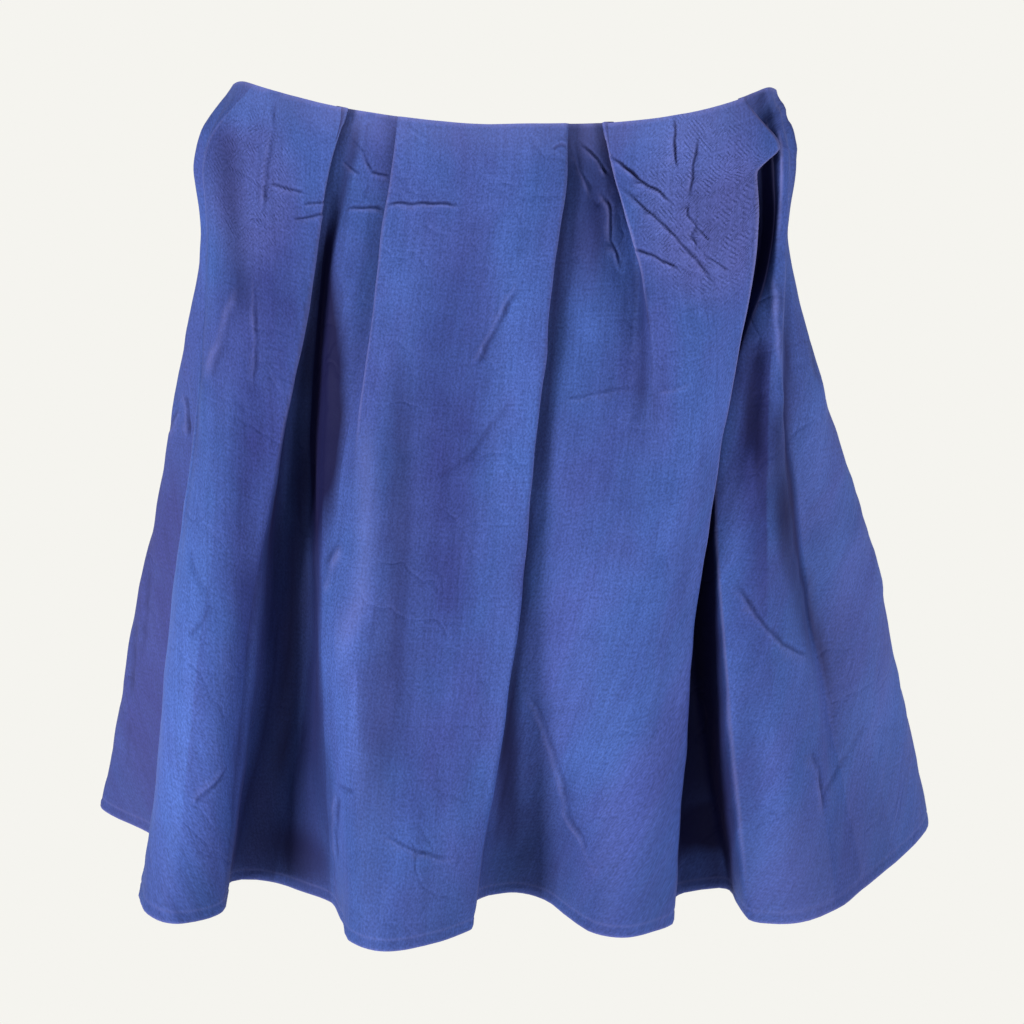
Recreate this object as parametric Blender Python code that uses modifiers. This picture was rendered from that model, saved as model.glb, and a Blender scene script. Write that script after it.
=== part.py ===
"""A midi skirt with deep inverted pleats, filled out as if worn.

The skirt has no waistband: its faced top edge sits on the waist, and the
pleats are pressed flat there and open into soft flutes towards the hem.  It
is three cut pieces of cloth: one front, and a left and a right back that meet
at the centre back.  Each is a thin wall lofted through rings.  A ring is a
closed polygon of fold points with rounded corners, and the tables below say
where each fold lies at six levels, from the waist down to the hem.

Units are metres, +Z is up, the front faces -Y, and the origin is the centre
of the waist opening.
"""

from collections import namedtuple

import bmesh
import bpy
from mathutils import Vector

NAME = "midi_skirt"
MM = 0.001

WALL = 1.2 * MM
SEAM_GAP = 0.3 * MM

# Height of the waist edge: lowest at the centre front, higher at the sides.
WAIST_FRONT_Z = -16 * MM
WAIST_BACK_Z = -24 * MM
WAIST_SIDE_RISE = 36.5 * MM
WAIST_BOW_LEFT = 2.0
WAIST_BOW_RIGHT = 3.4
WAIST_HALF_WIDTH = 222 * MM
WAIST_HALF_DEPTH = 62 * MM

# The waist edge turns down again at its outermost ends.
WAIST_END_LEFT = 212 * MM
WAIST_END_RIGHT = 206 * MM
WAIST_END_RUN = 17 * MM
WAIST_END_DROP = 9 * MM

# Height of the hem: level round the front, higher at the sides.
HEM_Z = -640 * MM
HEM_SIDE_RISE = 35 * MM
HEM_HALF_WIDTH = 375 * MM

# Six levels, as shares of the cloth's drop from the waist edge to the hem:
# waist, yoke, hip, thigh, knee and hem.
LEVELS = (0.0, 0.075, 0.20, 0.42, 0.68, 1.0)

# Rows of the mesh down each wall, as shares of the same drop.
ROWS = (0.0, 0.03, 0.062, 0.095, 0.14, 0.20, 0.28, 0.37, 0.46, 0.56, 0.67,
        0.78, 0.89, 1.0)

# A fold's rounding: steps round it, how fast it opens down the cloth, and the
# largest share of the way to the next fold that it takes.
ARC_STEPS = 3
SEAM_ARC_STEPS = 4
ROUNDING_POWER = 1.5
MAX_ROUNDING = 0.48

# Folds pressed to an edge keep it further down.
PRESSED_FOLDS = ("left release", "centre edge", "centre release", "right edge",
                 "right release", "third pleat bed", "side edge", "second pleat outer")
PRESSED_TIGHT = 2.5
PRESSED_POWER = 3.2

# The right panel's pressed edge stands out over the side pleat to a corner
# below the waist, where the pleat is let go.
CORNER_FOLD = "right release"
CORNER_REACH = 22.0
CORNER_TIP = 0.062
CORNER_END = 0.095

# A fold line: (across, forward) in millimetres at each level, and how far its
# rounding reaches along the cloth at the waist and at the hem.
Fold = namedtuple("Fold", "name waist yoke hip thigh knee hem tight loose")

FRONT_FOLDS = (
    Fold("left wing", (-229, 0), (-261, 2), (-261, 0), (-288, 0),
         (-325, -2), (-370, -6), 10, 40),
    Fold("left tuck", (-219, 14), (-242, 18), (-234, 22), (-248, 36),
         (-272, 44), (-298, 34), 4, 30),
    Fold("left edge", (-206, 27), (-245, 34), (-248, 54), (-255, 92),
         (-271, 142), (-293, 188), 10, 40),
    Fold("left lobe", (-168, 43), (-198, 60), (-206, 86), (-222, 126),
         (-242, 176), (-262, 218), 40, 40),
    Fold("left release", (-126, 54), (-140, 65), (-151, 85), (-175, 113),
         (-200, 148), (-221, 178), 4, 40),
    Fold("first pleat inner", (-138, 46), (-152, 54), (-164, 66), (-186, 82),
         (-190, 100), (-237, 108), 4, 34),
    Fold("first pleat bed", (-124, 47), (-139, 53), (-149, 60), (-160, 60),
         (-158, 98), (-198, 97), 8, 50),
    Fold("first pleat swell", (-104, 50), (-122, 58), (-144, 75), (-149, 103),
         (-147, 163), (-141, 140), 8, 16),
    Fold("first pleat outer", (-78, 52), (-84, 61), (-95, 79), (-128, 115),
         (-134, 178), (-130, 184), 4, 30),
    Fold("centre edge", (-88, 60), (-94, 70), (-105, 90), (-120, 127),
         (-118, 186), (-123, 224), 4, 40),
    Fold("centre lobe", (-20, 64), (-24, 77), (-32, 101), (-50, 140),
         (-70, 194), (-86, 244), 60, 60),
    Fold("centre release", (48, 63), (48, 75), (39, 97), (26, 132),
         (8, 174), (-26, 192), 4, 36),
    Fold("second pleat inner", (35, 55), (34, 65), (24, 83), (10, 116),
         (-10, 148), (-34, 132), 4, 36),
    Fold("second pleat bed", (60, 55), (62, 64), (64, 80), (52, 119),
         (30, 146), (2, 110), 20, 60),
    Fold("second pleat outer", (84, 51), (95, 59), (104, 72), (86, 116),
         (56, 156), (30, 126), 4, 40),
    Fold("right edge", (73, 60), (84, 72), (106, 94), (114, 130),
         (82, 172), (58, 196), 4, 40),
    Fold("right lobe", (130, 51), (146, 62), (152, 90), (146, 130),
         (114, 180), (92, 216), 50, 60),
    Fold("right release", (193, 33), (200, 49), (199, 76), (175, 113),
         (147, 153), (136, 186), 4, 30),
    Fold("third pleat inner", (186, 26), (187, 38), (184, 56), (150, 88),
         (130, 104), (134, 118), 4, 30),
    Fold("third pleat bed", (200, 15), (206, 22), (205, 30), (158, 75),
         (150, 88), (184, 112), 6, 16),
    Fold("side edge", (205, 14), (214, 29), (213, 50), (169, 86),
         (170, 150), (191, 190), 6, 10),
    Fold("side lobe", (211, 15), (221, 36), (217, 57), (212, 86),
         (206, 144), (226, 203), 6, 50),
    Fold("side ridge", (215, 11), (228, 29), (224, 52), (225, 78),
         (244, 104), (262, 180), 4, 44),
    Fold("side dip", (218, 4), (228, 12), (223, 26), (228, 42),
         (252, 66), (285, 148), 6, 60),
    Fold("side swell", (221, 0), (236, 5), (230, 12), (249, 38),
         (280, 66), (322, 104), 8, 60),
    Fold("right wing", (223, -4), (239, -2), (234, -1), (276, 8),
         (326, 16), (371, 30), 10, 60),
)

LEFT_SEAM = Fold("left seam", (-214, -18), (-246, -22), (-250, -28),
                 (-272, -36), (-305, -42), (-346, -48), 20, 40)
RIGHT_SEAM = Fold("right seam", (212, -20), (232, -26), (227, -28),
                  (262, -34), (308, -36), (354, -34), 20, 40)

# How far back the cloth hangs at the centre back, at each level, and how full
# the arch from seam to seam is.
BACK_DEPTH = (62, 84, 118, 150, 190, 228)
ARCH_POWER = 0.45
ARCH_END = 0.999
ARCH_STEP = 0.02

# A pleat of the back: its place as a share of the way out to the side seam,
# the width of its mouth and its depth, at the waist and at the hem, and how
# far its edges cover the underlay at the waist.
BackPleat = namedtuple(
    "BackPleat", "name place_waist place_hem mouth_waist mouth_hem deep_hem cover")

BACK_PLEATS = (
    BackPleat("right outer", 0.76, 0.74, 30, 66, 92, 12),
    BackPleat("right inner", 0.33, 0.30, 34, 60, 84, 13),
    BackPleat("left inner", -0.30, -0.33, 32, 64, 90, 13),
    BackPleat("left outer", -0.72, -0.77, 34, 58, 80, 12),
)
PLEAT_DEPTH_WAIST = 7.5
DEEPENING_POWER = 1.2
COVER_HEM = 6.0
PLEAT_TIGHT = 4
PLEAT_LOOSE = 40

# How far each back panel swells between its pleats at the hem.
BackPanel = namedtuple("BackPanel", "name place_waist place_hem swell_hem")
BACK_PANELS = (
    BackPanel("right side", 0.93, 0.93, 4),
    BackPanel("right", 0.54, 0.52, 26),
    BackPanel("centre", 0.0, 0.0, 22),
    BackPanel("left", -0.51, -0.55, 28),
    BackPanel("left side", -0.93, -0.93, 4),
)
SWELL_POWER = 1.3
PANEL_TIGHT = 30
PANEL_LOOSE = 60

FRONT_COLOR = (0.055, 0.085, 0.36)
BACK_COLOR = (0.050, 0.078, 0.33)
CLOTH_ROUGHNESS = 0.62


def smooth_step(share):
    """Ease from 0 to 1, flat at both ends."""
    share = max(0.0, min(1.0, share))
    return share * share * (3.0 - 2.0 * share)


def mix(low, high, share):
    """Blend two numbers."""
    return low + (high - low) * share


def along_levels(values, drop):
    """Read a smooth curve through one value for each level."""
    slopes = []
    for i in range(len(LEVELS)):
        low = max(i - 1, 0)
        high = min(i + 1, len(LEVELS) - 1)
        slopes.append((values[high] - values[low]) / (LEVELS[high] - LEVELS[low]))
    i = 0
    while i < len(LEVELS) - 2 and drop > LEVELS[i + 1]:
        i += 1
    span = LEVELS[i + 1] - LEVELS[i]
    s = (drop - LEVELS[i]) / span
    return ((1 + 2 * s) * (1 - s) ** 2 * values[i]
            + s * (1 - s) ** 2 * span * slopes[i]
            + s * s * (3 - 2 * s) * values[i + 1]
            + s * s * (s - 1) * span * slopes[i + 1])


def corner_reach(drop):
    """How far the right panel's edge stands out at a drop."""
    if drop <= CORNER_TIP:
        return CORNER_REACH * smooth_step(drop / CORNER_TIP)
    return CORNER_REACH * (1.0 - smooth_step((drop - CORNER_TIP) / (CORNER_END - CORNER_TIP)))


def back_point(share, level):
    """A point of the back's plain outline, at a share of the way to a seam."""
    seam = RIGHT_SEAM if share >= 0 else LEFT_SEAM
    seam_across, seam_forward = seam[1 + level]
    arch = (1.0 - share * share) ** ARCH_POWER
    return abs(seam_across) * share, seam_forward - (BACK_DEPTH[level] + seam_forward) * arch


def back_normal(share, level):
    """The outward direction of the back's plain outline, then its run."""
    ahead = back_point(min(share + ARCH_STEP, ARCH_END), level)
    behind = back_point(max(share - ARCH_STEP, -ARCH_END), level)
    run = (ahead[0] - behind[0], ahead[1] - behind[1])
    size = (run[0] ** 2 + run[1] ** 2) ** 0.5
    return run[1] / size, -run[0] / size, run[0] / size, run[1] / size


def back_fold(name, place, aside, outward, tight, loose):
    """A fold row of the back: beside a place on the outline and out from it.

    The place, the step aside and the step outward are functions of the level.
    """
    points = []
    for level in range(len(LEVELS)):
        share = place(LEVELS[level])
        base = back_point(share, level)
        out_x, out_y, run_x, run_y = back_normal(share, level)
        side = aside(LEVELS[level])
        lift = outward(LEVELS[level])
        points.append((base[0] + run_x * side + out_x * lift,
                       base[1] + run_y * side + out_y * lift))
    return Fold(name, *points, tight, loose)


def back_pleat_folds(pleat):
    """The four fold rows of a back pleat, from its right edge to its left."""
    def place(drop):
        return mix(pleat.place_waist, pleat.place_hem, drop)

    def half_mouth(drop):
        return mix(pleat.mouth_waist, pleat.mouth_hem, drop) / 2.0

    def cover(drop):
        return mix(pleat.cover, COVER_HEM, drop)

    def depth(drop):
        return -mix(PLEAT_DEPTH_WAIST, pleat.deep_hem, drop ** DEEPENING_POWER)

    def level_out(drop):
        return 0.0

    rows = []
    for side in (1, -1):
        def edge_aside(drop, side=side):
            return side * half_mouth(drop)

        def inner_aside(drop, side=side):
            return side * (half_mouth(drop) + cover(drop))

        edge = back_fold(f"{pleat.name} edge", place, edge_aside, level_out,
                         PLEAT_TIGHT, PLEAT_LOOSE)
        inner = back_fold(f"{pleat.name} inner", place, inner_aside, depth,
                          PLEAT_TIGHT, PLEAT_LOOSE)
        rows.append((edge, inner))
    (right_edge, right_inner), (left_edge, left_inner) = rows
    return [right_edge, right_inner, left_inner, left_edge]


def back_panel_fold(panel):
    """The fold row at the middle of a back panel."""
    def place(drop):
        return mix(panel.place_waist, panel.place_hem, drop)

    def no_step(drop):
        return 0.0

    def swell(drop):
        return panel.swell_hem * drop ** SWELL_POWER

    return back_fold(f"{panel.name} panel", place, no_step, swell,
                     PANEL_TIGHT, PANEL_LOOSE)


def all_folds():
    """Every fold row, from the left seam round the front and back again."""
    folds = [LEFT_SEAM, *FRONT_FOLDS, RIGHT_SEAM]
    for panel, pleat in zip(BACK_PANELS, BACK_PLEATS):
        folds.append(back_panel_fold(panel))
        folds.extend(back_pleat_folds(pleat))
    folds.append(back_panel_fold(BACK_PANELS[-1]))
    return folds


def fold_point(fold, drop):
    """Where a fold lies at a drop, in millimetres: across and forward."""
    levels = fold[1:1 + len(LEVELS)]
    across = along_levels([point[0] for point in levels], drop)
    forward = along_levels([point[1] for point in levels], drop)
    if fold.name == CORNER_FOLD:
        across += corner_reach(drop)
    return Vector((across, forward))


def ring_arc(folds, index, drop, steps):
    """The rounded corner at one fold, as points in millimetres."""
    here = fold_point(folds[index], drop)
    before = fold_point(folds[index - 1], drop)
    after = fold_point(folds[(index + 1) % len(folds)], drop)
    fold = folds[index]
    if fold.name in PRESSED_FOLDS:
        reach = mix(PRESSED_TIGHT, fold.loose, drop ** PRESSED_POWER)
    else:
        reach = mix(fold.tight, fold.loose, drop ** ROUNDING_POWER)
    near = min(MAX_ROUNDING, reach / (before - here).length)
    far = min(MAX_ROUNDING, reach / (after - here).length)
    start = here + (before - here) * near
    end = here + (after - here) * far
    points = []
    for step in range(steps + 1):
        u = step / steps
        points.append(start * (1 - u) ** 2 + here * 2 * u * (1 - u) + end * u * u)
    return points


def waist_height(point):
    """Height of the waist edge at a point of the waist ring, in metres."""
    bow = WAIST_BOW_RIGHT if point.x > 0 else WAIST_BOW_LEFT
    behind = max(0.0, -point.y * MM / WAIST_HALF_DEPTH)
    middle = mix(WAIST_FRONT_Z, WAIST_BACK_Z, smooth_step(behind))
    end = WAIST_END_RIGHT if point.x > 0 else WAIST_END_LEFT
    past = max(0.0, (abs(point.x * MM) - end) / WAIST_END_RUN)
    rise = WAIST_SIDE_RISE * abs(point.x * MM / WAIST_HALF_WIDTH) ** bow
    return middle + rise - WAIST_END_DROP * past * past


def hem_height(point):
    """Height of the hem at a point of the hem ring, in metres."""
    return HEM_Z + HEM_SIDE_RISE * abs(point.x * MM / HEM_HALF_WIDTH) ** 3


def seam_arc(folds, index, drop, starts):
    """Half the rounded corner at a seam, its edge clear of the next piece."""
    arc = ring_arc(folds, index, drop, SEAM_ARC_STEPS)
    middle = SEAM_ARC_STEPS // 2
    if starts:
        arc = arc[middle:]
        edge, inside = 0, 1
    else:
        arc = arc[:middle + 1]
        edge, inside = -1, -2
    inward = (arc[inside] - arc[edge]).normalized()
    arc[edge] = arc[edge] + inward * (SEAM_GAP / MM / 2)
    return arc


def column_points(folds, first, last, drop):
    """The ring's points from one seam to the next."""
    count = len(folds)
    points = seam_arc(folds, first, drop, True)
    for index in range(first + 1, last):
        points.extend(ring_arc(folds, index % count, drop, ARC_STEPS))
    points.extend(seam_arc(folds, last % count, drop, False))
    return points


def build_wall(name, folds, first, last, material, collection):
    """Loft one piece of cloth from a fold to another and give it thickness."""
    waist = column_points(folds, first, last, 0.0)
    hem = column_points(folds, first, last, 1.0)
    tops = [waist_height(point) for point in waist]
    bottoms = [hem_height(point) for point in hem]
    mesh = bpy.data.meshes.new(name)
    shell = bmesh.new()
    grid = []
    for drop in ROWS:
        ring = column_points(folds, first, last, drop)
        row = []
        for point, top, bottom in zip(ring, tops, bottoms):
            place = (point.x * MM, -point.y * MM, mix(top, bottom, drop))
            row.append(shell.verts.new(place))
        grid.append(row)
    for upper, lower in zip(grid, grid[1:]):
        for i in range(len(upper) - 1):
            shell.faces.new((upper[i], lower[i], lower[i + 1], upper[i + 1]))
    for face in shell.faces:
        face.smooth = True
    shell.to_mesh(mesh)
    shell.free()
    mesh.materials.append(material)
    piece = bpy.data.objects.new(name, mesh)
    collection.objects.link(piece)
    wall = piece.modifiers.new("cloth thickness", "SOLIDIFY")
    wall.thickness = WALL
    wall.offset = 0.0
    return piece


def cloth_material(name, color):
    """Plain cloth of one colour."""
    material = bpy.data.materials.new(name)
    material.use_nodes = True
    shader = material.node_tree.nodes["Principled BSDF"]
    shader.inputs["Base Color"].default_value = (*color, 1.0)
    shader.inputs["Roughness"].default_value = CLOTH_ROUGHNESS
    shader.inputs["Metallic"].default_value = 0.0
    return material


def clear_scene():
    """Remove whatever the file holds."""
    for item in list(bpy.data.objects):
        bpy.data.objects.remove(item, do_unlink=True)


def main():
    """Build the front and the two backs."""
    clear_scene()
    collection = bpy.data.collections.new(NAME)
    bpy.context.scene.collection.children.link(collection)
    folds = all_folds()
    names = [fold.name for fold in folds]
    left = names.index("left seam")
    right = names.index("right seam")
    centre_back = names.index("centre panel")
    pieces = (
        ("front", left, right, FRONT_COLOR),
        ("back_right", right, centre_back, BACK_COLOR),
        ("back_left", centre_back, len(folds), BACK_COLOR),
    )
    for name, first, last, color in pieces:
        material = cloth_material(f"{name}_cloth", color)
        build_wall(name, folds, first, last, material, collection)


main()
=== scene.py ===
import math
from collections import namedtuple
from functools import partial

import bmesh
import bpy
import numpy as np
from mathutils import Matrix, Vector
from mathutils.bvhtree import BVHTree


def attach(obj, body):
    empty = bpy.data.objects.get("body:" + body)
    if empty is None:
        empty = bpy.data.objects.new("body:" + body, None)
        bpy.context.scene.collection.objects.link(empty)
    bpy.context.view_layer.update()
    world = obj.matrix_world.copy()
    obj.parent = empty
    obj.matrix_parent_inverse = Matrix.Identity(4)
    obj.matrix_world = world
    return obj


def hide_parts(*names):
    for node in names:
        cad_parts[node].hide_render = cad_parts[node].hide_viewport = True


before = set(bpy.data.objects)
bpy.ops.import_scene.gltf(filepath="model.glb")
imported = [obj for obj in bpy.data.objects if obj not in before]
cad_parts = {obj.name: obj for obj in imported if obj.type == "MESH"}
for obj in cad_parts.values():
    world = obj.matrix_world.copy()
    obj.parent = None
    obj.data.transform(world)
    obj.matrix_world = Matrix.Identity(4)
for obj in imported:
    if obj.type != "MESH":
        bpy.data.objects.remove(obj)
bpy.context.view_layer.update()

MM = 0.001

# Height of the waist edge and of the hem, as the cut gives them, in metres.
WAIST_FRONT_Z = -0.016
WAIST_BACK_Z = -0.024
WAIST_SIDE_RISE = 0.0365
WAIST_BOW_LEFT = 2.0
WAIST_BOW_RIGHT = 3.4
WAIST_HALF_WIDTH = 0.222
WAIST_HALF_DEPTH = 0.062
WAIST_END_LEFT = 0.212
WAIST_END_RIGHT = 0.206
WAIST_END_RUN = 0.017
WAIST_END_DROP = 0.009
HEM_Z = -0.640
HEM_SIDE_RISE = 0.035
HEM_HALF_WIDTH = 0.375

# Levels down the cloth, as shares of its drop from the waist edge to the hem.
LEVELS = (0.0, 0.075, 0.20, 0.42, 0.68, 1.0)

# The right panel's pressed edge stands out to a corner below the waist: how far
# in millimetres, and where its tip and its end lie as shares of the drop.
CORNER_FOLD = "right release"
CORNER_REACH = 22.0
CORNER_TIP = 0.062
CORNER_END = 0.095

# A fold line: (across, forward) in millimetres at each level, how far its
# rounding reaches at the waist and at the hem.
Fold = namedtuple("Fold", "name waist yoke hip thigh knee hem tight loose")

FRONT_FOLDS = (
    Fold("left wing", (-229, 0), (-261, 2), (-261, 0), (-288, 0),
         (-325, -2), (-370, -6), 10, 40),
    Fold("left tuck", (-219, 14), (-242, 18), (-234, 22), (-248, 36),
         (-272, 44), (-298, 34), 4, 30),
    Fold("left edge", (-206, 27), (-245, 34), (-248, 54), (-255, 92),
         (-271, 142), (-293, 188), 10, 40),
    Fold("left lobe", (-168, 43), (-198, 60), (-206, 86), (-222, 126),
         (-242, 176), (-262, 218), 40, 40),
    Fold("left release", (-126, 54), (-141, 65), (-154, 85), (-179, 113),
         (-201, 148), (-221, 178), 4, 40),
    Fold("first pleat inner", (-138, 46), (-152, 54), (-164, 66), (-186, 82),
         (-190, 100), (-237, 108), 4, 34),
    Fold("first pleat bed", (-124, 47), (-139, 53), (-149, 60), (-160, 60),
         (-158, 98), (-198, 97), 8, 50),
    Fold("first pleat swell", (-104, 50), (-122, 58), (-144, 75), (-149, 103),
         (-147, 163), (-141, 140), 8, 16),
    Fold("first pleat outer", (-78, 52), (-84, 61), (-95, 79), (-128, 115),
         (-134, 178), (-130, 184), 4, 30),
    Fold("centre edge", (-88, 60), (-94, 70), (-105, 90), (-120, 127),
         (-118, 186), (-123, 224), 4, 40),
    Fold("centre lobe", (-20, 64), (-24, 77), (-32, 101), (-50, 140),
         (-70, 194), (-86, 244), 60, 60),
    Fold("centre release", (48, 63), (46, 75), (35, 97), (21, 132),
         (4, 174), (-27, 192), 4, 12),
    Fold("second pleat inner", (35, 55), (34, 65), (24, 83), (10, 116),
         (-10, 148), (-34, 132), 4, 36),
    Fold("second pleat bed", (60, 55), (62, 64), (64, 80), (52, 119),
         (30, 146), (2, 110), 20, 60),
    Fold("second pleat outer", (84, 51), (95, 59), (104, 72), (86, 116),
         (56, 156), (30, 126), 4, 40),
    Fold("right edge", (73, 60), (84, 72), (106, 94), (114, 130),
         (82, 172), (58, 196), 4, 40),
    Fold("right lobe", (130, 51), (146, 62), (152, 90), (146, 130),
         (114, 180), (92, 216), 50, 60),
    Fold("right release", (193, 33), (199, 49), (196, 76), (170, 113),
         (145, 153), (131, 186), 4, 14),
    Fold("third pleat inner", (186, 26), (187, 38), (184, 56), (150, 88),
         (130, 104), (134, 118), 4, 30),
    Fold("third pleat bed", (200, 15), (206, 22), (205, 30), (158, 75),
         (150, 88), (184, 112), 6, 16),
    Fold("side edge", (205, 14), (214, 29), (213, 50), (169, 86),
         (170, 150), (191, 190), 6, 10),
    Fold("side lobe", (211, 15), (221, 36), (217, 57), (212, 86),
         (206, 144), (226, 203), 6, 50),
    Fold("side ridge", (215, 11), (228, 29), (224, 52), (225, 78),
         (244, 104), (262, 180), 4, 44),
    Fold("side dip", (218, 4), (228, 12), (223, 26), (228, 42),
         (252, 66), (285, 148), 6, 60),
    Fold("side swell", (221, 0), (236, 5), (230, 12), (249, 38),
         (280, 66), (322, 104), 8, 60),
    Fold("right wing", (223, -4), (239, -2), (234, -1), (276, 8),
         (326, 16), (371, 30), 10, 60),
)

LEFT_SEAM = Fold("left seam", (-214, -18), (-246, -22), (-250, -28),
                 (-272, -36), (-305, -42), (-346, -48), 20, 40)
RIGHT_SEAM = Fold("right seam", (212, -20), (232, -26), (227, -28),
                  (262, -34), (308, -36), (354, -34), 20, 40)

BACK_DEPTH = (62, 84, 118, 150, 190, 228)

BackPleat = namedtuple(
    "BackPleat", "name place_waist place_hem mouth_waist mouth_hem deep_hem cover")

BACK_PLEATS = (
    BackPleat("right outer", 0.76, 0.74, 30, 66, 92, 12),
    BackPleat("right inner", 0.33, 0.30, 34, 60, 84, 13),
    BackPleat("left inner", -0.30, -0.33, 32, 64, 90, 13),
    BackPleat("left outer", -0.72, -0.77, 34, 58, 80, 12),
)
PLEAT_DEPTH_WAIST = 7.5
COVER_HEM = 6.0

BackPanel = namedtuple("BackPanel", "name place_waist place_hem swell_hem")
BACK_PANELS = (
    BackPanel("right side", 0.93, 0.93, 4),
    BackPanel("right", 0.54, 0.52, 26),
    BackPanel("centre", 0.0, 0.0, 22),
    BackPanel("left", -0.51, -0.55, 28),
    BackPanel("left side", -0.93, -0.93, 4),
)

# The gap at a seam in millimetres, and how many columns from it the cloth's
# unevenness reaches its full height, so that the two sides of a seam meet.
SEAM_GAP = 0.04
SEAM_CALM = 3.0
# The shell's thickness in metres, and how far the solids' outer face lies from
# the middle of their wall in millimetres.
CLOTH_THICKNESS = 0.0007
CAD_HALF_WALL = 0.6


def smooth_step(share):
    """Ease from 0 to 1, flat at both ends; takes numbers or arrays."""
    share = np.clip(share, 0.0, 1.0)
    return share * share * (3.0 - 2.0 * share)


def mix(low, high, share):
    """Blend two values."""
    return low + (high - low) * share


def bell(distance, width):
    """One at no distance, soft, and near nought past twice a width."""
    return np.exp(-(distance / width) ** 2)


def along_levels(values, drops):
    """Read a smooth curve through one value for each level, at many drops."""
    levels = np.array(LEVELS)
    values = np.asarray(values, float)
    count = len(levels)
    low = np.maximum(np.arange(count) - 1, 0)
    high = np.minimum(np.arange(count) + 1, count - 1)
    slopes = (values[high] - values[low]) / (levels[high] - levels[low])
    i = np.clip(np.searchsorted(levels, drops, side="right") - 1, 0, count - 2)
    span = levels[i + 1] - levels[i]
    s = (drops - levels[i]) / span
    return ((1 + 2 * s) * (1 - s) ** 2 * values[i]
            + s * (1 - s) ** 2 * span * slopes[i]
            + s * s * (3 - 2 * s) * values[i + 1]
            + s * s * (s - 1) * span * slopes[i + 1])


def corner_reach(drops):
    """How far the right panel's edge stands out."""
    rising = smooth_step(drops / CORNER_TIP)
    falling = 1.0 - smooth_step((drops - CORNER_TIP) / (CORNER_END - CORNER_TIP))
    return CORNER_REACH * np.where(drops <= CORNER_TIP, rising, falling)


def back_point(share, level):
    """A point of the back's plain outline, at a share of the way to a seam."""
    seam = RIGHT_SEAM if share >= 0 else LEFT_SEAM
    seam_across, seam_forward = seam[1 + level]
    arch = (1.0 - share * share) ** 0.45
    return abs(seam_across) * share, seam_forward - (BACK_DEPTH[level] + seam_forward) * arch


def back_fold(name, place, aside, outward, tight, loose):
    """A fold row of the back, beside a place on the outline and out from it."""
    step = 0.02
    points = []
    for level, drop in enumerate(LEVELS):
        share = place(drop)
        base = back_point(share, level)
        ahead = back_point(min(share + step, 0.999), level)
        behind = back_point(max(share - step, -0.999), level)
        run = Vector((ahead[0] - behind[0], ahead[1] - behind[1])).normalized()
        points.append((base[0] + run.x * aside(drop) + run.y * outward(drop),
                       base[1] + run.y * aside(drop) - run.x * outward(drop)))
    return Fold(name, *points, tight, loose)


def back_pleat_folds(pleat):
    """The four fold rows of a back pleat, from its right edge to its left."""
    def place(drop):
        return mix(pleat.place_waist, pleat.place_hem, drop)

    def half_mouth(drop):
        return mix(pleat.mouth_waist, pleat.mouth_hem, drop) / 2.0

    def depth(drop):
        return -mix(PLEAT_DEPTH_WAIST, pleat.deep_hem, drop ** 1.2)

    def edge(side):
        return back_fold(f"{pleat.name} edge", place,
                         lambda drop: side * half_mouth(drop),
                         lambda drop: 0.0, 4, 40)

    def inner(side):
        def aside(drop):
            return side * (half_mouth(drop) + mix(pleat.cover, COVER_HEM, drop))
        return back_fold(f"{pleat.name} inner", place, aside, depth, 4, 40)

    return [edge(1), inner(1), inner(-1), edge(-1)]


def back_panel_fold(panel):
    """The fold row at the middle of a back panel."""
    return back_fold(f"{panel.name} panel",
                     lambda drop: mix(panel.place_waist, panel.place_hem, drop),
                     lambda drop: 0.0,
                     lambda drop: panel.swell_hem * drop ** 1.3, 30, 60)


def all_folds():
    """Every fold row, from the left seam round the front and back again."""
    folds = [LEFT_SEAM, *FRONT_FOLDS, RIGHT_SEAM]
    for panel, pleat in zip(BACK_PANELS, BACK_PLEATS):
        folds.append(back_panel_fold(panel))
        folds.extend(back_pleat_folds(pleat))
    folds.append(back_panel_fold(BACK_PANELS[-1]))
    return folds


FOLDS = all_folds()
FOLD_NAMES = [fold.name for fold in FOLDS]


def fold_lines(drops):
    """Every fold's place at every drop: an array of (drop, fold, axis)."""
    lines = np.zeros((len(drops), len(FOLDS), 2))
    for k, fold in enumerate(FOLDS):
        points = np.array(fold[1:1 + len(LEVELS)], float)
        lines[:, k, 0] = along_levels(points[:, 0], drops)
        lines[:, k, 1] = along_levels(points[:, 1], drops)
        if fold.name == CORNER_FOLD:
            lines[:, k, 0] += corner_reach(drops)
    return lines


# Folds pressed to an edge, and how slowly they open down the cloth.
PRESSED = ("left release", "centre edge", "centre release", "right edge", "right release",
           "third pleat bed", "side edge", "second pleat outer")
PRESSED_POWER = 3.2
SOFT_POWER = 1.5
PRESSED_TIGHT = 2.5


def arc_ends(lines, drops):
    """Where each fold's rounding starts and ends, as points."""
    pressed = np.array([fold.name in PRESSED for fold in FOLDS])
    tight = np.where(pressed, PRESSED_TIGHT, [float(fold.tight) for fold in FOLDS])
    loose = np.array([fold.loose for fold in FOLDS], float)
    power = np.where(pressed, PRESSED_POWER, SOFT_POWER)
    reach = mix(tight[None, :], loose[None, :], drops[:, None] ** power[None, :])
    before = np.roll(lines, 1, axis=1) - lines
    after = np.roll(lines, -1, axis=1) - lines
    near = np.minimum(0.48, reach / np.linalg.norm(before, axis=2))
    far = np.minimum(0.48, reach / np.linalg.norm(after, axis=2))
    return lines + before * near[:, :, None], lines + after * far[:, :, None]


Column = namedtuple("Column", "fold share")

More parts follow.
